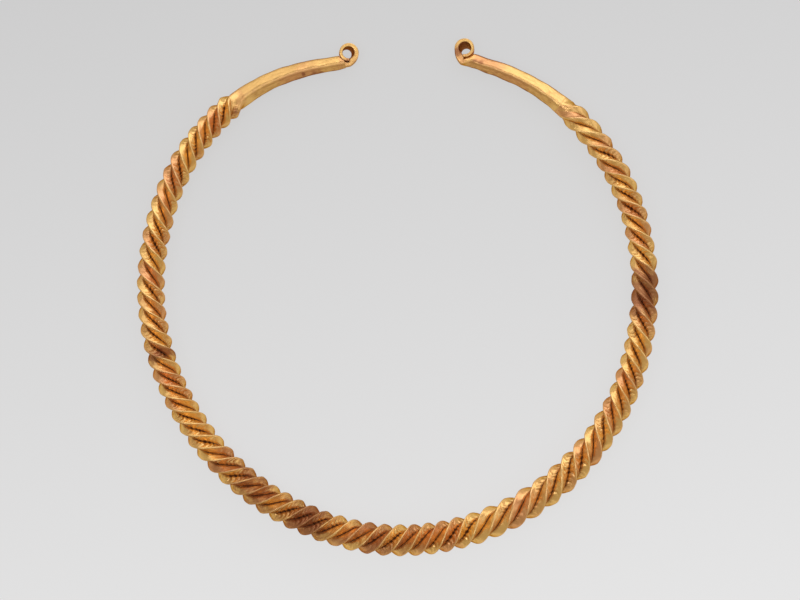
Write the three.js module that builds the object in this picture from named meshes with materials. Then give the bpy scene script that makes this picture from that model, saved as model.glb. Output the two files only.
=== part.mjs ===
// A gold torc: one bar of gold, bent to an open hoop. Its middle is a square rod with a seam
// chased along each face, twisted so that its four edges run round as crests. Its two ends are
// left plain, and each tip is thinned to a strip and rolled outwards into a small eye.
// Millimetres, +Z up. The torc lies flat with its underside on Z = 0, the gap between its eyes
// is towards +Y, and the origin is at the middle of its outline.
import * as THREE from 'three';

// Hoop: the centre line seen from above, as a radius that changes with the angle from +X
const hoopRadius = 68; // mean radius of the centre line
const hoopStart = 101.5; // degrees, at the foot of the left eye
const hoopEnd = 434.6; // degrees, at the foot of the right eye, going round by the back
const hoopShares = [ // radius at even angles from start to end, as shares of hoopRadius
  0.981, 1.03, 1.0357, 1.0167, 1, 0.9813, 0.9752, 0.9768, 0.9886,
  0.9922, 0.9957, 1.0022, 1.0048, 1.0187, 1.0323, 1.0333, 1.0125,
];
const flick = 0.6; // the last stretch of each end is bent outwards by this much
const flickAngle = 7; // degrees of the hoop over which it is bent

// Bars: the plain ends, square in section and standing on an edge
const leftBarLength = 32.5;
const rightBarLength = 32;
const barRootRadius = 2.66; // from the centre to an edge, where the twist begins
const barRoll = 11; // degrees from the outer side of the hoop up to the first edge

// Twist: edges become crests, and each face of the rod gets a seam between two lips
const crestRadius = 4.5; // from the centre to a crest, where the rod is thickest
const crestShares = [ // the same from end to end, as shares of crestRadius
  0.802, 0.842, 0.873, 0.893, 0.916, 0.942, 0.984, 0.993,
  1, 1.004, 0.987, 0.922, 0.898, 0.851, 0.833, 0.749,
];
const crestCount = 4;
const lobeCount = 75; // quarter turns from end to end, a whole number
const lobeRuns = [ // mean length of each run of lobes, from the left bar to the right one
  3.86, 4.35, 4.35, 4.2, 4, 4.28, 4.19, 4.37, 4.27, 5.53, 4.94, 4.48, 4.71, 4.22, 4.62,
];
const swellLobes = 1.2; // lobes over which a bar swells into the twist
const seamDepth = 0.32; // sink of the seam, as a share of its distance from the centre
const lipPlace = 0.4; // place of a lip between two crests, as a share of the face
const sectionsPerTurn = 13.8;

// Eyes: each tip is a strip on edge, rolled round an upright hole and thinner as it goes
const tipThickness = 0.87;
const tipAngle = 58; // degrees left open between the foot of the roll and its tip
const tipGap = 0.15; // clearance between the roll and the bar that it is rolled against
const stripBevel = 0.22; // width of the bevels along the strip's edges
const stripWear = 0.08; // sink of the bevelled edges, as a share of their distance inwards
const sectionsPerRoll = 14;
const leftEye = {
  barRadius: 1.92, // of the bar beside the eye, from its centre to an edge
  holeRadius: 1.62,
  rise: 2.09, // from the bar's centre line out to the middle of the hole
  stripWidth: 3, // along Z
  footThickness: 1.99, // of the strip where the roll begins
  taperAngle: 68, // degrees of roll over which the strip loses most of what it is to lose
  cutSetback: 1.7, // the bar is cut square to the strip this far before the eye
  leanAhead: 0.28, // how far the hole leans along the bar for each unit of height
  leanOut: 0.05, // how far it leans outwards
};
const rightEye = {
  barRadius: 1.95,
  holeRadius: 1.7,
  rise: 1.97,
  stripWidth: 3.6,
  footThickness: 2.22,
  taperAngle: 45,
  cutSetback: 0, // the bar runs on into the strip
  leanAhead: 0.34,
  leanOut: 0.26,
};
const outerLean = 0.3; // lean of the roll's outer side, as a share of the lean of its hole
const leanTurn = Math.PI / 2; // turn of the roll over which its outer side comes to lean
const cutSlope = 0.04; // how far the cut end of a bar is from square

const goldColour = 0xc8922f;
const goldRoughness = 0.34;

const radians = THREE.MathUtils.degToRad;
const mix = THREE.MathUtils.lerp;
const smooth = THREE.MathUtils.smoothstep;

// A smooth curve through evenly spaced values: Catmull-Rom, with the ends carried on straight
function through(values, t) {
  const last = values.length - 1;
  const place = THREE.MathUtils.clamp(t, 0, 1) * last;
  const i = Math.min(Math.floor(place), last - 1);
  const before = i > 0 ? values[i - 1] : 2 * values[0] - values[1];
  const after = i + 2 <= last ? values[i + 2] : 2 * values[last] - values[last - 1];
  const slopeIn = (values[i + 1] - before) / 2;
  const slopeOut = (after - values[i]) / 2;
  const x = place - i;
  return values[i] * (2 * x ** 3 - 3 * x ** 2 + 1) + slopeIn * (x ** 3 - 2 * x ** 2 + x)
    + values[i + 1] * (3 * x ** 2 - 2 * x ** 3) + slopeOut * (x ** 3 - x ** 2);
}

class HoopLine extends THREE.Curve {
  getPoint(t, target = new THREE.Vector3()) {
    const angle = radians(mix(hoopStart, hoopEnd, t));
    const fromEnd = (hoopEnd - hoopStart) * Math.min(t, 1 - t);
    const bend = flick * Math.max(0, 1 - fromEnd / flickAngle) ** 2;
    const radius = hoopRadius * through(hoopShares, t) + bend;
    return target.set(radius * Math.cos(angle), radius * Math.sin(angle), 0);
  }
}

const hoop = new HoopLine();
hoop.arcLengthDivisions = 2000;
const hoopLength = hoop.getLength();
const twistLength = hoopLength - leftBarLength - rightBarLength;
const quarterTurns = Math.round(lobeCount);

// Where a lobe lies along the hoop: the run lengths are added up, then made to fill the twist
const runEnds = lobeRuns.reduce((ends, run) => [...ends, ends.at(-1) + run], [0]);
const lobePlace = (lobe) =>
  leftBarLength + (twistLength * through(runEnds, lobe / quarterTurns)) / runEnds.at(-1);

// The hoop's own frame at a distance along it: a point, the way ahead and the way outwards
function hoopFrame(distance) {
  const u = THREE.MathUtils.clamp(distance / hoopLength, 0, 1);
  const ahead = hoop.getTangentAt(u);
  return { at: hoop.getPointAt(u), ahead, out: new THREE.Vector3(ahead.y, -ahead.x, 0) };
}

// Corners of a square section standing on an edge, as [outwards, up] pairs
function standingSquare(radius, roll) {
  return Array.from({ length: crestCount }, (_, k) => {
    const angle = radians(roll) + (k * 2 * Math.PI) / crestCount;
    return [radius * Math.cos(angle), radius * Math.sin(angle)];
  });
}

// Corners of the strip's section between its inner and its outer face, in the same order
function uprightStrip(inner, outer, halfWidth) {
  return [[outer, halfWidth], [inner, halfWidth], [inner, -halfWidth], [outer, -halfWidth]];
}

const mixCorners = (a, b, t) => a.map((p, k) => [mix(p[0], b[k][0], t), mix(p[1], b[k][1], t)]);

// The closed outline of a section: each face has its corner, a lip, its seam and another lip.
// On the strip, which has no seams, the lips close in on the corners and bevel them.
function outline(corners, { seam = 0, strip = 0 }) {
  const middle = [0, 1].map((axis) => corners.reduce((sum, p) => sum + p[axis], 0) / crestCount);
  return corners.flatMap((corner, k) => {
    const next = corners[(k + 1) % crestCount];
    const side = Math.hypot(next[0] - corner[0], next[1] - corner[1]);
    const lip = mix(lipPlace, stripBevel / side, strip);
    const onFace = (share, sink) => [0, 1].map((axis) =>
      mix(mix(corner[axis], next[axis], share), middle[axis], sink));
    return [onFace(0, stripWear * strip), onFace(lip, 0), onFace(0.5, seam), onFace(1 - lip, 0)];
  });
}

// A section in its place: [outwards, up] pairs round a point at a height above the ground
function placed({ at, out }, height, points) {
  return points.map(([outward, up]) =>
    new THREE.Vector3(at.x + out.x * outward, at.y + out.y * outward, height + up));
}

// The twist: one section after another, each turned a little further, all lying on Z = 0
function twistSections() {
  const steps = Math.round((quarterTurns / crestCount) * sectionsPerTurn);
  return Array.from({ length: steps + 1 }, (_, i) => {
    const lobe = (quarterTurns * i) / steps;
    const swell = smooth(Math.min(lobe, quarterTurns - lobe), 0, swellLobes);
    const crest = crestRadius * through(crestShares, lobe / quarterTurns);
    const radius = mix(barRootRadius, crest, swell);
    const corners = standingSquare(radius, barRoll + (lobe * 360) / crestCount);
    return placed(hoopFrame(lobePlace(lobe)), radius, outline(corners, { seam: seamDepth * swell }));
  });
}

// One plain bar and its eye, from the twist outwards. Distances along it are measured from the
// foot of the eye, below zero on the bar, and turns are measured round the roll. The hole leans
// over its whole height. The roll's outer side lines up with the hole's upper end.
function terminal(frameAt, barLength, eye) {
  const foot = frameAt(0);
  const halfWidth = eye.stripWidth / 2;
  const opening = radians(tipAngle);
  const rollEnd = 2 * Math.PI - opening;
  const rollThickness = (turn) =>
    mix(tipThickness, eye.footThickness, Math.exp(-turn / radians(eye.taperAngle)));
  const notchRadius = eye.holeRadius + rollThickness(rollEnd) + tipGap;
  const notchSide = opening - tipGap / eye.holeRadius;

  // How far out the bar may reach beside the eye: it clears the roll, faces the rolled tip and
  // then lines the hole
  const clearOfEye = (distance) => {
    const back = Math.abs(distance);
    if (back >= notchRadius) return Infinity;
    if (back >= notchRadius * Math.sin(notchSide)) {
      return eye.rise - Math.sqrt(notchRadius ** 2 - back ** 2);
    }
    if (back >= eye.holeRadius * Math.sin(notchSide)) return eye.rise - back / Math.tan(notchSide);
    return eye.rise - Math.sqrt(eye.holeRadius ** 2 - back ** 2);
  };

  const barStations = [0.8, 0.6, 0.4, 0.25].map((share) => -barLength * share);
  const besideEye = [
    -notchRadius - eye.barRadius / 2, -notchRadius, -notchRadius * 0.94,
    -notchRadius * Math.sin(notchSide), -eye.holeRadius * Math.sin(notchSide),
    -eye.holeRadius / 2, 0,
  ];
  const cut = eye.cutSetback > 0 ? [-eye.cutSetback - cutSlope, -eye.cutSetback] : [];
  const onBar = [...barStations, ...besideEye, ...cut].sort((a, b) => a - b).map((distance) => {
    const radius = mix(eye.barRadius, barRootRadius, -distance / barLength);
    const strip = eye.cutSetback > 0
      ? Number(distance >= -eye.cutSetback)
      : smooth(distance, -notchRadius, 0);
    const innerFace = eye.rise - eye.holeRadius - eye.footThickness;
    const block = uprightStrip(innerFace, Math.min(radius, clearOfEye(distance)), halfWidth);
    const corners = mixCorners(standingSquare(radius, barRoll), block, strip);
    const clear = outline(corners, { strip }).map(([outward, up]) =>
      [Math.min(outward, clearOfEye(distance - eye.leanAhead * up) + eye.leanOut * up), up]);
    return placed(frameAt(distance), radius, clear);
  });

  const hole = foot.at.clone().addScaledVector(foot.out, eye.rise);
  const leanWay = foot.ahead.clone().multiplyScalar(eye.leanAhead)
    .addScaledVector(foot.out, eye.leanOut);
  const onRoll = Array.from({ length: sectionsPerRoll }, (_, i) => {
    const turn = (rollEnd * (i + 1)) / sectionsPerRoll;
    const out = foot.out.clone().multiplyScalar(Math.cos(turn))
      .addScaledVector(foot.ahead, -Math.sin(turn));
    const thickness = rollThickness(turn);
    const corners = uprightStrip(-eye.holeRadius - thickness, -eye.holeRadius, halfWidth);
    const points = outline(corners, { strip: 1 });
    return placed({ at: hole, out }, eye.barRadius, points).map((point, k) => {
      const [outward, up] = points[k];
      const outerShift = smooth(turn, 0, leanTurn) * mix(halfWidth, up, outerLean);
      const depth = (-eye.holeRadius - outward) / thickness;
      return point.addScaledVector(leanWay, mix(up, outerShift, depth));
    });
  });
  return [...onBar, ...onRoll];
}

// The same section with its points counted from another corner, to meet a twist that has
// turned through that many quarters
function countedFrom(section, quarters) {
  const first = (quarters % crestCount) * (section.length / crestCount);
  return [...section.slice(first), ...section.slice(0, first)];
}

// Skin over sections that follow each other, closed by a fan at both ends
function skin(sections) {
  const rim = sections[0].length;
  const lastRim = (sections.length - 1) * rim;
  const faces = [];
  for (let i = 0; i < lastRim; i += rim) {
    for (let k = 0; k < rim; k++) {
      const [a, b] = [i + k, i + ((k + 1) % rim)];
      faces.push(a, a + rim, b, b, a + rim, b + rim);
    }
  }
  for (let k = 1; k + 1 < rim; k++) {
    faces.push(0, k, k + 1);
    faces.push(lastRim, lastRim + k + 1, lastRim + k);
  }
  const geometry = new THREE.BufferGeometry().setFromPoints(sections.flat());
  geometry.setIndex(faces);
  return geometry;
}

const leftTerminal = terminal((distance) => {
  const { at, ahead, out } = hoopFrame(-distance);
  return { at, ahead: ahead.negate(), out };
}, leftBarLength, leftEye);
const rightTerminal =
  terminal((distance) => hoopFrame(hoopLength + distance), rightBarLength, rightEye);

const geometry = skin([
  ...leftTerminal.reverse(),
  ...twistSections(),
  ...rightTerminal.map((section) => countedFrom(section, quarterTurns)),
]);
geometry.computeBoundingBox();
const middle = geometry.boundingBox.getCenter(new THREE.Vector3());
geometry.translate(-middle.x, -middle.y, -geometry.boundingBox.min.z);
geometry.computeVertexNormals();

const gold = new THREE.MeshStandardMaterial({
  color: goldColour, metalness: 1, roughness: goldRoughness, flatShading: true,
});
const torc = new THREE.Mesh(geometry, gold);
torc.name = 'torc';

const model = new THREE.Group();
model.add(torc);

export default model;
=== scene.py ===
import math
import bpy
import numpy as np
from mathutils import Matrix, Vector


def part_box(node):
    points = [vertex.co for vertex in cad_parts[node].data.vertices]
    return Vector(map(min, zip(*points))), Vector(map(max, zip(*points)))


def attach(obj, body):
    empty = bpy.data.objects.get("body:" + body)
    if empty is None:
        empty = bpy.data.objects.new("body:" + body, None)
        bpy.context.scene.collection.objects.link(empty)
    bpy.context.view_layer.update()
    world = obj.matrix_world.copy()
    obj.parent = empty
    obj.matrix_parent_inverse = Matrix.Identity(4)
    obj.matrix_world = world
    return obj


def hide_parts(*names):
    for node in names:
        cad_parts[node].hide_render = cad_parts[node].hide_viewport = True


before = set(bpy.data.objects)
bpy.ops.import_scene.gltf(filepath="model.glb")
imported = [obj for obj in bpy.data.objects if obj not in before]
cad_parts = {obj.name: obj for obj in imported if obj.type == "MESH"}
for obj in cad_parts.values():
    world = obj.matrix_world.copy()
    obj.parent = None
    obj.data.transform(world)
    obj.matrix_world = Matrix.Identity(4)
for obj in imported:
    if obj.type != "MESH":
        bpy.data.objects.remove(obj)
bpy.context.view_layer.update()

mm = 0.001  # lengths below are in millimetres unless a note says metres

hoop = {  # the centre line seen from above
    "radius": 68,
    "start": 101.5,  # degrees, at the foot of the left eye
    "end": 434.6,  # degrees, at the foot of the right eye, going round by the back
    "shares": [  # radius at even angles from start to end, as shares of the one above
        0.981, 1.03, 1.0357, 1.0167, 1, 0.9813, 0.9752, 0.9768, 0.9886,
        0.9922, 0.9957, 1.0022, 1.0048, 1.0187, 1.0323, 1.0333, 1.0125,
    ],
    "flick": 0.6,  # the last stretch of each end is bent outwards by this much
    "flickAngle": 7,
    "steps": 8000,  # its length is measured in so many straight steps
}

rod = {  # the twisted square rod between the two bars
    "lobes": 75,
    "lobeRuns": [  # mean length of each run of lobes, from the left bar to the right one
        3.86, 4.35, 4.35, 4.2, 4, 4.28, 4.19, 4.37, 4.27, 5.53, 4.94, 4.48, 4.71, 4.22, 4.62,
    ],
    "crestRadius": 4.5,  # from the centre to a crest
    "crestShares": [  # the same at even places along the twist, as shares of it
        0.815, 0.842, 0.873, 0.893, 0.916, 0.942, 0.984, 0.993,
        1, 1.004, 0.987, 0.922, 0.898, 0.851, 0.84, 0.79,
    ],
    "swellLobes": 1.1,  # the bar swells to the twist's full size over this many lobes
    "rootWear": [0.35, 1],  # more wear where the twist begins and ends: the section is fuller there
    "rootWearMiddle": 0.45,  # in lobes from the bar
    "rootWearReach": 0.4,
    "earlier": 1.6,  # the twist starts slowly, so much before the place for even lobes
    "earlierLobes": 0.35,
    "later": 1.6,  # and ends so much after it
    "laterLobes": 1.6,
    "crestWear": 0.8,  # how far down each side of a crest the wear has rounded it
    "cushionDepth": 0.42,  # the faces curve down towards the seam by this much
    "cushionHalf": 0.42,  # over this share of the face on each side
    "seamDepth": 0.5,
    "seamHalf": 0.06,  # half the seam's width, as a share of the face
    "seamWander": 0.012,  # how far it strays to both sides
    "strayLobes": 0.03,  # how far edges and seams stray from an even twist
    "strokes": 360,  # small cuts on both sides of each seam
    "rowsPerStroke": 4,
    "strokeSlant": [0.65, 0.95],  # on each side; 1 is right along the rod, 0 straight across it
    "strokeStraight": [0.24, 0.5],  # they straighten over these shares of the face, from the seam
    "strokeHalf": [0.26, 0.46],  # full up to the first share of the face, gone past the last
    "strokeDepth": 0.45,
    "unevenness": [0.07, 0.05],  # broad and fine, inwards
    "carvedLobes": [0.2, 1.5],  # seams and strokes begin over these lobes from each bar
}

bars = {  # the plain ends, square in section and standing on an edge
    "left": 31.1,
    "right": 30.4,
    "rootRadius": 2.68,  # from the centre to an edge, where the twist begins
    "roll": 11,  # degrees from the outer side of the hoop up to the first edge
    "rowStep": 0.42,
    "edgeWear": 1.25,
    "hammering": 0.08,  # depth of its broad dents
    "fineHammering": 0.012,
    "plainFrom": 3,  # the twist's look fades into the bar's over this length
    "outerShadeHeights": [0.55, 1.05],  # heights over the middle between which the painted shade on the lower side ends
    "innerShadeHeights": [-0.5, 1],
    # how strong the painted shade on the inner lower side is
    "innerShadeStrength": 0.8,
    "sideShadeLevels": [0.22, 0.4],  # painted shade on the outer and the inner side, darker on the inner one
}

eyes = {  # each tip is a strip on edge, rolled round an upright hole and thinner as it goes
    "tipThickness": 0.9,
    "tipGap": 0.09,
    "edgeWear": 0.34,
    "liningDepth": 0.1,
    "wallShade": 0.4,  # painted shade on the hole's walls: how dark and how reddish brown they are painted
    "wallShadeRedness": 0.9,
    "besideRows": 36,
    "rollRows": 48,
    "outerLean": 0.3,
    "leanTurn": math.pi / 2,
    "left": {
        "barRadius": 1.95, "holeRadius": 1.62, "rise": 2.09, "stripWidth": 3,
        "footThickness": 1.99, "taperAngle": 68, "cutSetback": 1.25, "cutSlope": 0.04,
        "leanAhead": 0.25, "leanOut": 0.08, "tipAngle": 5, "narrowing": 0.28,
    },
    "right": {
        "barRadius": 1.98, "holeRadius": 1.7, "rise": 1.86, "stripWidth": 3.6,
        "footThickness": 2.22, "taperAngle": 45, "cutSetback": 0, "cutSlope": 0.04,
        "leanAhead": 0.32, "leanOut": 0.32, "tipAngle": 6, "narrowing": 0.3,
    },
}

wearLoss = 0.04  # every worn edge lies this much inside the unworn one
# places of the section's points on each of its four faces, from one edge to the next
faceShares = np.array([
    0, 0.03, 0.07, 0.14, 0.26, 0.37, 0.455, 0.5, 0.545, 0.63, 0.74, 0.86, 0.93, 0.97])


def mix(a, b, t):
    return a + (b - a) * t


def smooth(x, low, high):
    x = np.clip((x - low) / (high - low), 0, 1)
    return x * x * (3 - 2 * x)


def through(values, t):
    # a smooth curve through evenly spaced values: each piece is the cubic whose end slopes are
    # half the step between its neighbours, and the curve goes straight on past both ends
    values = np.asarray(values, float)
    padded = np.concatenate([[2 * values[0] - values[1]], values, [2 * values[-1] - values[-2]]])
    last = len(values) - 1
    place = np.clip(t, 0, 1) * last
    i = np.minimum(place.astype(int), last - 1)
    x = place - i
    before, here, there, beyond = (padded[i + k] for k in range(4))
    slopeIn, slopeOut = (there - before) / 2, (beyond - here) / 2
    return (here * (2 * x**3 - 3 * x**2 + 1) + slopeIn * (x**3 - 2 * x**2 + x)
            + there * (3 * x**2 - 2 * x**3) + slopeOut * (x**3 - x**2))


def waves(seed, count, reach, along, around):
    # soft unevenness, mostly from -1 to 1: a sum of sines, each with up to 3 whole waves round
    # the section and up to the given reach of radians for each unit along it
    random = np.random.default_rng(seed)
    total = 0
    for _ in range(count):
        turns = random.integers(0, 4)
        pace = random.uniform(-reach, reach)
        total = total + np.sin(along * pace + around * turns + random.uniform(0, 2 * math.pi))
    return total / math.sqrt(count)


def hoopPoint(t):
    # angle goes evenly from start to end; radius is the curve through the shares plus a flick
    angle = np.radians(mix(hoop["start"], hoop["end"], t))
    fromEnd = (hoop["end"] - hoop["start"]) * np.minimum(t, 1 - t)
    bend = hoop["flick"] * np.clip(1 - fromEnd / hoop["flickAngle"], 0, None) ** 2
    radius = hoop["radius"] * through(hoop["shares"], t) + bend
    return np.stack([radius * np.cos(angle), radius * np.sin(angle)], -1)


hoopTurns = np.linspace(0, 1, hoop["steps"] + 1)
hoopSteps = np.linalg.norm(np.diff(hoopPoint(hoopTurns), axis=0), axis=1)
hoopDistances = np.concatenate([[0], np.cumsum(hoopSteps)])
hoopLength = hoopDistances[-1]
twistLength = hoopLength - bars["left"] - bars["right"] - rod["earlier"] - rod["later"]


def hoopFrame(distance):
    # the hoop's point at a distance along it, the way ahead there and the way outwards
    t = np.interp(distance, hoopDistances, hoopTurns)
    nudge = 1e-4
    ahead = hoopPoint(np.minimum(t + nudge, 1)) - hoopPoint(np.maximum(t - nudge, 0))
    ahead = ahead / np.linalg.norm(ahead, axis=-1, keepdims=True)
    return hoopPoint(t), ahead, np.stack([ahead[..., 1], -ahead[..., 0]], -1)


def lobePlace(lobe):
    # the run lengths are added up and made to fill the twist, and both ends are drawn out
    runEnds = np.concatenate([[0], np.cumsum(rod["lobeRuns"])])
    shares = through(runEnds, lobe / rod["lobes"]) / runEnds[-1]
    even = bars["left"] + rod["earlier"] + twistLength * shares
    drawnBack = rod["earlier"] * np.exp(-lobe / rod["earlierLobes"])
    drawnOn = rod["later"] * np.exp(-(((rod["lobes"] - lobe) / rod["laterLobes"]) ** 2))
    return even - drawnBack + drawnOn


def standingSquare(radius, roll):
    # corners of a square standing on an edge, a quarter turn apart, as [outwards, up]
    angles = math.radians(roll) + np.arange(4) * math.pi / 2
    return radius[..., None, None] * np.stack([np.cos(angles), np.sin(angles)], -1)


def uprightStrip(inner, outer, halfWidth):
    inner, outer, half = np.broadcast_arrays(inner, outer, float(halfWidth))
    return np.stack([np.stack([outer, half], -1), np.stack([inner, half], -1),
                     np.stack([inner, -half], -1), np.stack([outer, -half], -1)], -2)


def wornOutline(corners, wear):
    # a four-sided section whose corners are rounded: within the wear of a corner, a point goes
    # from its straight side onto the curve corner + wear * ((1-u)^2 side + u^2 next side)
    corner = corners[..., :, None, :]
    following = np.roll(corners, -1, -2)[..., :, None, :]
    share = faceShares[:, None]
    first = share <= 0.5
    near = np.where(first, corner, following)
    along = np.where(first, following - corner, corner - following)
    across = np.where(first, np.roll(corners, 1, -2)[..., :, None, :] - corner,
                      np.roll(corners, -2, -2)[..., :, None, :] - following)
    side = np.linalg.norm(along, axis=-1, keepdims=True)
    acrossSide = np.linalg.norm(across, axis=-1, keepdims=True)
    reach = np.minimum(wear, 0.48 * np.minimum(side, acrossSide))
    far = np.minimum(share, 1 - share) * side
    u = np.clip((1 - far / reach) / 2, 0, 0.5)
    curved = reach * ((1 - u) ** 2 * along / side + u**2 * across / acrossSide)
    return near + np.where(far < reach, curved, far * along / side)


def wornCorner(radius, wear):
    # where the sharp corner lies when the worn one is to reach the radius
    return radius + wear / math.sqrt(8) - wearLoss


def inPlace(at, out, height, outline):
    # [outwards, up] pairs round a point at a height above the ground
    flat = at + out * outline[..., :1]
    return np.concatenate([flat, height + outline[..., 1:]], -1)


def rodSections():
    # each row is a rounded square, turned by a quarter for each lobe, and its points are drawn in
    # at the seam and at the strokes. A row runs slanted across the seams, along a stroke
    rows = rod["strokes"] * rod["rowsPerStroke"]
    row = np.arange(rows + 1)
    base = rod["lobes"] * row / rows
    fromEnd = np.minimum(base, rod["lobes"] - base)
    swell = smooth(fromEnd, 0, rod["swellLobes"])
    crest = rod["crestRadius"] * through(rod["crestShares"], base / rod["lobes"])
    radius = mix(bars["rootRadius"], crest, swell)
    wear = mix(bars["edgeWear"], rod["crestWear"], swell)
    fromRoot = (fromEnd - rod["rootWearMiddle"]) / rod["rootWearReach"]
    rootWear = np.where(base == fromEnd, *rod["rootWear"]) * smooth(fromEnd, 0, 0.3)
    wear += rootWear * np.exp(-(fromRoot**2))
    outline = wornOutline(standingSquare(wornCorner(radius, wear), 0), wear[:, None, None, None])

    base, fade = base[:, None, None], smooth(fromEnd, 0, 1)[:, None, None]
    face = np.arange(4)[None, :, None]
    around = face * math.pi / 2
    fromSeam = np.abs(faceShares - 0.5)
    side = (faceShares > 0.5).astype(int)
    flank = (face + 0.5 * side) * math.pi / 2
    straight = smooth(fromSeam, *rod["strokeStraight"])
    slant = np.array(rod["strokeSlant"])[side] * (faceShares - 0.5) * (1 - straight)
    lobe = base + fade * (rod["strayLobes"] * waves(14, 10, 12, base, around) - slant)

    random = np.random.default_rng(11).random((rod["strokes"] + 1, 4, 2)) ** 0.5
    strength = random[(row + rod["rowsPerStroke"] // 2) // rod["rowsPerStroke"]][:, :, side]
    wave = (0.5 + 0.5 * np.cos(2 * math.pi * row / rod["rowsPerStroke"])) ** 1.5
    clearness = smooth(waves(12, 14, 2.4, base, flank), -0.4, 0.4)
    stroke = wave[:, None, None] * strength * mix(0.12, 1, clearness)
    stroke = stroke * (1 - smooth(fromSeam, *rod["strokeHalf"]))
    cushion = np.clip(1 - fromSeam / rod["cushionHalf"], 0, 1) ** 2
    groove = np.clip(1 - fromSeam / rod["seamHalf"], 0, 1)
    wander = rod["seamWander"] * groove * waves(17, 16, 45, base, around)
    broad, fine = rod["unevenness"]
    angle = around + faceShares * math.pi / 2
    uneven = broad * np.abs(waves(15, 16, 4, lobe, angle))
    uneven = uneven + fine * (1 + waves(16, 20, 16, lobe, angle * 3))
    cut = rod["cushionDepth"] * cushion + rod["seamDepth"] * groove + rod["strokeDepth"] * stroke
    carved = smooth(fromEnd, *rod["carvedLobes"])[:, None, None]
    depth = (cut + uneven) * carved
    outline = outline * (1 - depth / np.linalg.norm(outline, axis=-1))[..., None]

    turned = np.radians(bars["roll"] + 90 * (lobe + wander * carved))
    outward = outline[..., 0] * np.cos(turned) - outline[..., 1] * np.sin(turned)
    up = outline[..., 0] * np.sin(turned) + outline[..., 1] * np.cos(turned)
    at, _, out = hoopFrame(lobePlace(lobe))
    points = inPlace(at, out, radius[:, None, None, None], np.stack([outward, up], -1))
    edge = np.minimum(faceShares, 1 - faceShares)
    traits = {
        # painted shade towards the seams, with dirt in the seams
        "hollowShadeAndDirt": (0.3 * cushion + 0.7 * groove) * carved,
        # stroke: the cuts, which are also painted darker as shade in them
        "stroke": stroke * carved,
        # crest: a painted highlight along the crests
        "crest": 0.85 * (1 - smooth(edge, 0.01, 0.1)) * swell[:, None, None],
        "tint": waves(21, 16, 2.2, base, flank),
        "stain": 0,
        "lane": face + faceShares,
        "run": lobe,
    }
    return points, traits


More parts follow.
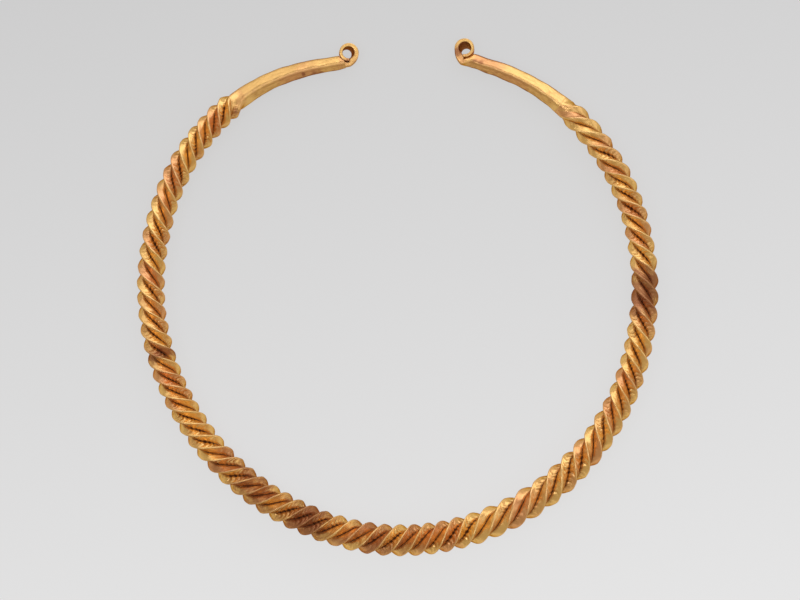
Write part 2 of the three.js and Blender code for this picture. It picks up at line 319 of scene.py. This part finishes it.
def terminalSections(end):
    # one plain bar and its eye, from the twist outwards. Distances along it are measured from the
    # foot of the eye, below zero on the bar, and turns are measured round the roll
    eye, barLength, left = eyes[end], bars[end], end == "left"
    halfWidth = eye["stripWidth"] / 2
    opening = math.radians(eye["tipAngle"])
    rollEnd = 2 * math.pi - opening

    def rollThickness(turn):
        thinning = np.exp(-turn / math.radians(eye["taperAngle"]))
        return mix(eyes["tipThickness"], eye["footThickness"], thinning)

    notchRadius = eye["holeRadius"] + rollThickness(rollEnd) + eyes["tipGap"]
    notchSide = opening - eyes["tipGap"] / eye["holeRadius"]

    def clearOfEye(distance):
        # how far out the bar may reach: it clears the roll, lines the hole, and is free behind it
        back = np.minimum(np.abs(distance), notchRadius)
        outside = eye["rise"] - np.sqrt(np.clip(notchRadius**2 - back**2, 0, None))
        slope = eye["rise"] - back / math.tan(notchSide)
        hole = eye["rise"] - np.sqrt(np.clip(eye["holeRadius"] ** 2 - back**2, 0, None))
        nearer = np.where(back >= eye["holeRadius"] * math.sin(notchSide), slope, hole)
        clear = np.where(back >= notchRadius * math.sin(notchSide), outside, nearer)
        return np.where(np.abs(distance) >= notchRadius, np.inf, clear)

    def frameAt(distance):
        at, ahead, out = hoopFrame(-distance if left else hoopLength + distance)
        return at, (-ahead if left else ahead), out

    plainEnd = -notchRadius - eye["barRadius"] / 2
    plainRows = int((barLength + plainEnd) / bars["rowStep"])
    plain = np.linspace(-barLength, plainEnd, plainRows + 1)[1:]
    beside = np.linspace(plainEnd, 0, eyes["besideRows"] + 1)[1:]
    distance = np.concatenate([plain, beside])
    strip = smooth(distance, -notchRadius, 0)
    if eye["cutSetback"]:  # the bar is cut square and only the strip goes on
        cuts = [-eye["cutSetback"] - eye["cutSlope"], -eye["cutSetback"]]
        clear = np.abs(distance + eye["cutSetback"] + eye["cutSlope"] / 2) > eye["cutSlope"]
        distance = np.sort(np.concatenate([distance[clear], cuts]))
        strip = (distance >= -eye["cutSetback"]).astype(float)
    radius = mix(eye["barRadius"], bars["rootRadius"], -distance / barLength)
    innerFace = eye["rise"] - eye["holeRadius"] - eye["footThickness"]
    block = uprightStrip(innerFace, np.minimum(radius, clearOfEye(distance)), halfWidth)
    square = standingSquare(wornCorner(radius, bars["edgeWear"]), bars["roll"])
    wear = mix(bars["edgeWear"], eyes["edgeWear"], strip)
    outline = wornOutline(mix(square, block, strip[:, None, None]), wear[:, None, None, None])

    face = np.arange(4)[None, :, None]
    fromRoot = smooth(distance, -barLength, bars["plainFrom"] - barLength)
    plainness = (fromRoot * (1 - strip))[:, None, None]
    along, angle = distance[:, None, None], (face + faceShares) * math.pi / 2
    broad = np.clip(0.8 + waves(31 if left else 32, 18, 1.3, along, angle), 0, None)
    fine = 1 + waves(33 if left else 34, 20, 5, along, angle * 2)
    dent = plainness * (bars["hammering"] * broad + bars["fineHammering"] * fine)
    outline = outline * (1 - dent / radius[:, None, None])[..., None]
    up = outline[..., 1]
    lowness = 0.5 - up / (2 * halfWidth)
    within = smooth(distance, -eye["holeRadius"], -eye["holeRadius"] / 2)[:, None, None]
    limit = clearOfEye(distance[:, None, None] - eye["leanAhead"] * up) + eye["leanOut"] * up
    limit = limit + eye["narrowing"] * np.clip(lowness, 0, 1) * within
    outline = np.stack([np.minimum(outline[..., 0], limit), up], -1)
    # painted shade: both lower edges of a bar are painted darker and reddish brown, and its inner
    # side is painted darker than its outer side
    outerLowShade = 1 - smooth(up, *bars["outerShadeHeights"])
    innerLowShade = bars["innerShadeStrength"] * (1 - smooth(up, *bars["innerShadeHeights"]))
    paintedUnderShade = np.where(outline[..., 0] > 0, outerLowShade, innerLowShade) * plainness
    # painted shade: the bar is painted darker, more on its inner side
    sideShade = mix(*bars["sideShadeLevels"], smooth(-outline[..., 0], -0.3, 0.5)) * plainness
    at, _, out = frameAt(distance)
    barPoints = inPlace(at[:, None, None], out[:, None, None], radius[:, None, None, None], outline)
    besideHole = smooth(distance, -notchRadius, -notchRadius / 2)[:, None, None]
    lining = (outline[..., 0] > limit - eyes["liningDepth"]) * besideHole

    footAt, footAhead, footOut = frameAt(np.array(0.0))
    hole = footAt + footOut * eye["rise"]
    leanWay = footAhead * eye["leanAhead"] + footOut * eye["leanOut"]
    turn = rollEnd * np.arange(1, eyes["rollRows"] + 1) / eyes["rollRows"]
    thickness = rollThickness(turn)
    rollOut = footOut * np.cos(turn)[:, None] - footAhead * np.sin(turn)[:, None]
    inner = np.full_like(turn, -eye["holeRadius"])
    corners = uprightStrip(inner - thickness, inner, halfWidth)
    outline = wornOutline(corners, eyes["edgeWear"])
    up = outline[..., 1]
    depth = (-eye["holeRadius"] - outline[..., 0]) / thickness[:, None, None]
    outline[..., 0] += eye["narrowing"] * (0.5 - up / (2 * halfWidth)) * (1 - depth)
    rollPoints = inPlace(hole, rollOut[:, None, None], eye["barRadius"], outline)
    leaning = smooth(turn, 0, eyes["leanTurn"])[:, None, None]
    outerShift = leaning * mix(halfWidth, up, eyes["outerLean"])
    rollPoints[..., :2] += leanWay * mix(up, outerShift, depth)[..., None]

    # painted shade on the hole's walls
    wallShadeMask = np.concatenate([lining, 1 - smooth(depth, 0, 0.25)])
    bare = np.zeros(rollPoints.shape[:-1])
    edge = np.minimum(faceShares, 1 - faceShares)
    row = np.arange(len(distance) + len(turn))[:, None, None]
    traits = {
        # painted shade on the hole's walls and on the bars' sides
        "hollowShadeAndDirt": eyes["wallShade"] * wallShadeMask + np.concatenate([sideShade, bare]),
        "stroke": 0,
        # crest: a painted highlight along the edges
        "crest": 0.5 * (1 - smooth(edge, 0.05, 0.25)),
        "tint": waves(22 if left else 23, 12, 0.5, row * 0.4, face * math.pi / 2),
        # stain here: painted shade on the hole's walls and on the bars' lower sides
        "stain": eyes["wallShadeRedness"] * wallShadeMask + np.concatenate([paintedUnderShade, bare]),
        "lane": face + faceShares,
        "run": row * 0.1,
    }
    return np.concatenate([barPoints, rollPoints]), traits


stains = {  # reddish brown tarnish
    "bands": [  # middle and reach in degrees round the hoop, strength
        (362, 6, 1), (193.5, 2, 0.8), (233, 13, 0.6), (249, 5, 0.6), (25, 8, 0.35), (266, 16, 0.45),
    ],
    "spots": [  # place, reach, strength
        (-26.05, 62.1, 0.35, 1.4), (-23.2, 62.6, 0.9, 0.5), (-21.3, 62.9, 0.9, 0.5),
        (-39.9, 57.7, 1, 0.4), (-44.6, 51.8, 1.4, 0.6), (-11.8, 65.3, 1, 0.6),
        (-13.8, 65.8, 0.7, 0.8), (16.3, 68.1, 1.5, 1.1), (21.3, 65.9, 0.9, 0.6),
        (23.2, 65.2, 0.9, 0.5), (24.5, 63, 0.9, 0.4), (27.5, 62.2, 0.9, 0.4),
        (42.1, 57, 1, 0.5), (35.5, 57.2, 1, 0.4), (38.5, 55, 1, 0.4),
    ],
}


def stain(points):
    # each band and spot fades as exp(-(distance / reach)^2), and together they stay below 1.5
    angle = np.degrees(np.arctan2(points[..., 1], points[..., 0])) % 360
    total = np.zeros(points.shape[:-1])
    for middle, reach, strength in stains["bands"]:
        away = (angle - middle + 180) % 360 - 180
        total += strength * np.exp(-((away / reach) ** 2))
    for x, y, reach, strength in stains["spots"]:
        away = np.hypot(points[..., 0] - x, points[..., 1] - y)
        total += strength * np.exp(-((away / reach) ** 2))
    return np.minimum(total, 1.5)


def closedSkin(name, points, traits):
    # rows of points round closed sections: each cell between two rows is a four-sided face, and
    # both end sections are closed by one flat face
    rows, rim = points.shape[:2]
    i, k = np.meshgrid(np.arange(rows - 1), np.arange(rim), indexing="ij")
    a, b = i * rim + k, i * rim + (k + 1) % rim
    cells = np.stack([a, a + rim, b + rim, b], -1).reshape(-1, 4)
    ends = [list(range(rim)), list(range(rows * rim - 1, (rows - 1) * rim - 1, -1))]
    mesh = bpy.data.meshes.new(name)
    mesh.from_pydata(points.reshape(-1, 3), [], cells.tolist() + ends)
    for trait, values in traits.items():
        layer = mesh.attributes.new(trait, "FLOAT", "POINT")
        layer.data.foreach_set("value", np.ascontiguousarray(values, np.float32).ravel())
    mesh.shade_smooth()
    mesh.update()
    piece = bpy.data.objects.new(name, mesh)
    bpy.context.scene.collection.objects.link(piece)
    return piece


def makeTorc():
    parts = [terminalSections("left"), rodSections(), terminalSections("right")]

    def joined(left, middle, right):
        # the left bar runs the other way, and the right one has turned on with the twist
        return np.concatenate([left[::-1], middle, np.roll(right, -(rod["lobes"] % 4), axis=1)])

    points = joined(*(sections for sections, _ in parts))
    traits = {}
    for name in parts[0][1]:
        values = (np.broadcast_to(own[name], sections.shape[:-1]) for sections, own in parts)
        traits[name] = joined(*values)
    traits["stain"] = traits["stain"] + stain(points)
    low, high = points.reshape(-1, 3).min(0), points.reshape(-1, 3).max(0)
    cadLow, cadHigh = (np.array(corner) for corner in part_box("torc"))
    shift = (cadLow + cadHigh) / 2 - (low + high) / 2 * mm
    shift[2] = cadLow[2] - low[2] * mm
    print("torc of", len(points), "rows, size", (high - low).round(3),
          "in the frame's", ((cadHigh - cadLow) / mm).round(3), "moved", (shift / mm).round(3))
    return closedSkin("wornTorc", points.reshape(len(points), -1, 3) * mm + shift, traits)


class Tone:  # one socket of a material, on which + - * add Math nodes
    def __init__(self, tree, socket=None):
        self.tree, self.socket = tree, socket

    def node(self, kind, settings=None, sockets=None, out=0):
        made = self.tree.nodes.new(kind)
        for name, value in (settings or {}).items():
            setattr(made, name, value)
        for name, value in (sockets or {}).items():
            if isinstance(value, Tone):
                self.tree.links.new(value.socket, made.inputs[name])
            else:
                made.inputs[name].default_value = value
        return Tone(self.tree, made.outputs[out])

    def maths(self, operation, *values):
        return self.node("ShaderNodeMath", {"operation": operation}, dict(enumerate(values)))

    def __add__(self, other):
        return self.maths("ADD", self, other)

    def __sub__(self, other):
        return self.maths("SUBTRACT", self, other)

    def __mul__(self, other):
        return self.maths("MULTIPLY", self, other)

    def __rsub__(self, other):
        return self.maths("SUBTRACT", other, self)

    __radd__, __rmul__ = __add__, __mul__

    def between(self, low, high):  # 0 below low, 1 above high, smooth between
        return self.node("ShaderNodeMapRange", {"interpolation_type": "SMOOTHSTEP"},
                         {"Value": self, "From Min": low, "From Max": high})

    def shade(self, low, high):  # a colour for 0 turning into a colour for 1
        low, high = (end if isinstance(end, Tone) else (*end, 1) for end in (low, high))
        return self.node("ShaderNodeMix", {"data_type": "RGBA"}, {0: self, 6: low, 7: high}, 2)

    def feed(self, socket):
        self.tree.links.new(self.socket, socket)


gold = {  # colours are linear
    "face": (0.92, 0.57, 0.19),
    "rose": (0.78, 0.39, 0.16),
    # a painted highlight on the crests and edges
    "crest": (0.95, 0.6, 0.26),
    # painted shade in the hollows, the seams and the cuts
    "paintedShade": (0.58, 0.29, 0.085),
    # tarnish, and the colour of the painted shade on the bars' lower sides and the hole's walls
    "tarnishAndShade": (0.36, 0.14, 0.065),
    # dirt in the seams, and painted shade in the seams and the cuts
    "dirtAndShade": (0.15, 0.055, 0.022),
    "edgeTint": (0.5, 0.25, 0.1),  # what a glancing reflection keeps
    "roughness": 0.32,
    "mottles": [60, 330, 1000],  # patches for each metre: broad, middling and fine
    "streaks": [9, 2.5],  # streaks across a face and along a lobe
    "grainDepth": 0.00015,  # metres
}


def wornGold():
    material = bpy.data.materials.new("wornGold")
    material.use_nodes = True
    tree = material.node_tree
    shader = tree.nodes["Principled BSDF"]
    start = Tone(tree)
    place = start.node("ShaderNodeTexCoord", out=3)

    def trait(name):
        return start.node("ShaderNodeAttribute", {"attribute_name": name}, out=2)

    def mottle(scale):
        sockets = {"Vector": place, "Scale": scale, "Detail": 3}
        return start.node("ShaderNodeTexNoise", None, sockets)

    hollowShadeAndDirt, stroke, crest = trait("hollowShadeAndDirt"), trait("stroke"), trait("crest")
    tint, stain = trait("tint"), trait("stain")
    broad, middling, fine = (mottle(scale) for scale in gold["mottles"])
    across, along = gold["streaks"]
    track = start.node("ShaderNodeCombineXYZ", None, {
        "X": trait("lane") * across, "Y": trait("run") * along})
    streak = start.node("ShaderNodeTexNoise", None, {"Vector": track, "Scale": 1, "Detail": 3})
    # the clean metal, with painted shade darker in the hollows, the seams and the cuts, and a
    # painted highlight paler on the crests
    colour = (tint * 0.4 + broad * 1.2 + middling * 0.5 + streak * 0.5).between(0.8, 1.6)
    colour = colour.shade(gold["face"], gold["rose"])
    # painted shade: darker in the hollows, the seams and the cuts
    paintedShadeMask = (hollowShadeAndDirt + stroke * 0.5 + (streak - 0.5) * 0.6).between(0, 0.9)
    colour = paintedShadeMask.shade(colour, gold["paintedShade"])
    # painted highlight: the crests and edges are painted paler
    colour = (crest * streak.between(0.35, 0.65)).shade(colour, gold["crest"])
    # then the tarnish in streaks and patches, with painted shade on the bars' lower sides and the
    # hole's walls, and the dirt in the seams together with painted shade in the seams and the cuts
    # tarnish, with painted shade where the stain trait carries it on the bars and the hole's walls
    tarnishAndShade = stain * (streak * 1.3 + fine * 0.6) + tint * 0.12 + middling * 0.5 + broad * 0.3
    tarnishAndShade = tarnishAndShade.between(0.6, 1.25)
    colour = (tarnishAndShade * 0.85).shade(colour, gold["tarnishAndShade"])
    # dirt with painted shade in the seams and the cuts
    dirtAndShade = (hollowShadeAndDirt + stroke * 0.45 + (fine - 0.5) * 0.2 + (streak - 0.5) * 0.4).between(0.35, 0.9)
    colour = dirtAndShade.shade(colour, gold["dirtAndShade"])
    roughness = dirtAndShade * 0.35 + tarnishAndShade * 0.12 + (streak - 0.5) * 0.2 + gold["roughness"]
    grain = start.node("ShaderNodeBump", None, {
        "Strength": 0.4, "Distance": gold["grainDepth"], "Height": fine * 0.4 + streak})
    shader.inputs["Metallic"].default_value = 1
    shader.inputs["Specular Tint"].default_value = (*gold["edgeTint"], 1)
    colour.feed(shader.inputs["Base Color"])
    roughness.feed(shader.inputs["Roughness"])
    grain.feed(shader.inputs["Normal"])
    return material


studio = {
    "floorReach": 3,  # metres
    "floorTint": 0.1,  # how much of the lamps' light the paper shows
    "paleness": 0.62,  # the paper's own glow in the middle
    "palerAside": 0.15,  # more of it for each metre to the right
    "palerBehind": -0.83,  # and for each metre up the picture
    "palerMost": 0.09,  # and no more than this in all, either way
    "sky": (0.47, 0.43, 0.37),
    "lampTint": (0.96, 1, 1.2),
    "lamps": [  # name, place in metres, width and height in metres, brightness
        ("keyPanel", (0.33, 0.79, 0.36), (0.9, 0.9), 1.2),
        ("leftPanel", (-0.42, -0.06, 0.72), (0.3, 0.3), 2.6),
        ("topPanel", (-0.35, 0.7, 0.35), (0.6, 0.6), 0.66),
        ("rightPanel", (0.85, 0, 0.35), (0.6, 0.6), 0.6),
        ("overheadPanel", (0.05, 0.05, 1.0), (0.6, 0.5), 0.8),
        ("frontPanel", (0.35, -0.45, 0.7), (0.6, 0.5), 0.52),
    ],
}


def makeStudio():
    reach = studio["floorReach"]
    mesh = bpy.data.meshes.new("floor")
    corners = [(-reach, -reach, 0), (reach, -reach, 0), (reach, reach, 0), (-reach, reach, 0)]
    mesh.from_pydata(corners, [], [(0, 1, 2, 3)])
    floor = bpy.data.objects.new("floor", mesh)
    bpy.context.scene.collection.objects.link(floor)
    paper = bpy.data.materials.new("palePaper")
    paper.use_nodes = True
    shader = paper.node_tree.nodes["Principled BSDF"]
    start = Tone(paper.node_tree)
    place, most = start.node("ShaderNodeTexCoord", out=3), studio["palerMost"]
    slope = start.node("ShaderNodeVectorMath", {"operation": "DOT_PRODUCT"}, {
        0: place, 1: (studio["palerAside"], studio["palerBehind"], 0)}, 1)
    slope = slope.maths("MAXIMUM", slope.maths("MINIMUM", slope, most), -most)
    glow = slope + studio["paleness"]
    glow.feed(shader.inputs["Emission Color"])
    shader.inputs["Emission Strength"].default_value = 1
    shader.inputs["Base Color"].default_value = (*[studio["floorTint"]] * 3, 1)
    shader.inputs["Specular IOR Level"].default_value = 0
    shader.inputs["Roughness"].default_value = 1
    mesh.materials.append(paper)
    world = bpy.data.worlds.new("studio")
    bpy.context.scene.world = world
    world.use_nodes = True
    world.node_tree.nodes["Background"].inputs["Color"].default_value = (*studio["sky"], 1)
    for name, spot, (width, height), brightness in studio["lamps"]:
        light = bpy.data.lights.new(name, "AREA")
        light.shape = "RECTANGLE"
        light.size, light.size_y = width, height
        light.color = studio["lampTint"]
        light.energy = brightness * math.pi * width * height
        lamp = bpy.data.objects.new(name, light)
        lamp.location = spot
        lamp.rotation_euler = (-Vector(spot)).to_track_quat("-Z", "Y").to_euler()
        bpy.context.scene.collection.objects.link(lamp)


photograph = {  # where the photograph was taken from, in metres over the torc's middle
    "aside": 0.00063,
    "behind": -0.00081,
    "height": 0.6,
    "lens": 96.65,  # millimetres, like the sensor
    "sensor": 36,
}


def makeCamera():
    camera = bpy.data.cameras.new("photograph")
    camera.lens = photograph["lens"]
    camera.sensor_width = photograph["sensor"]
    eye = bpy.data.objects.new("photograph", camera)
    eye.location = (photograph["aside"], photograph["behind"], photograph["height"])
    bpy.context.scene.collection.objects.link(eye)
    bpy.context.scene.camera = eye


makeCamera()
torc = makeTorc()
torc.data.materials.append(wornGold())
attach(torc, "root")
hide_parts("torc")
print("torc made,", sum(len(face.vertices) - 2 for face in torc.data.polygons), "triangles")
makeStudio()
bpy.context.scene.view_settings.view_transform = "Standard"
print("studio made")
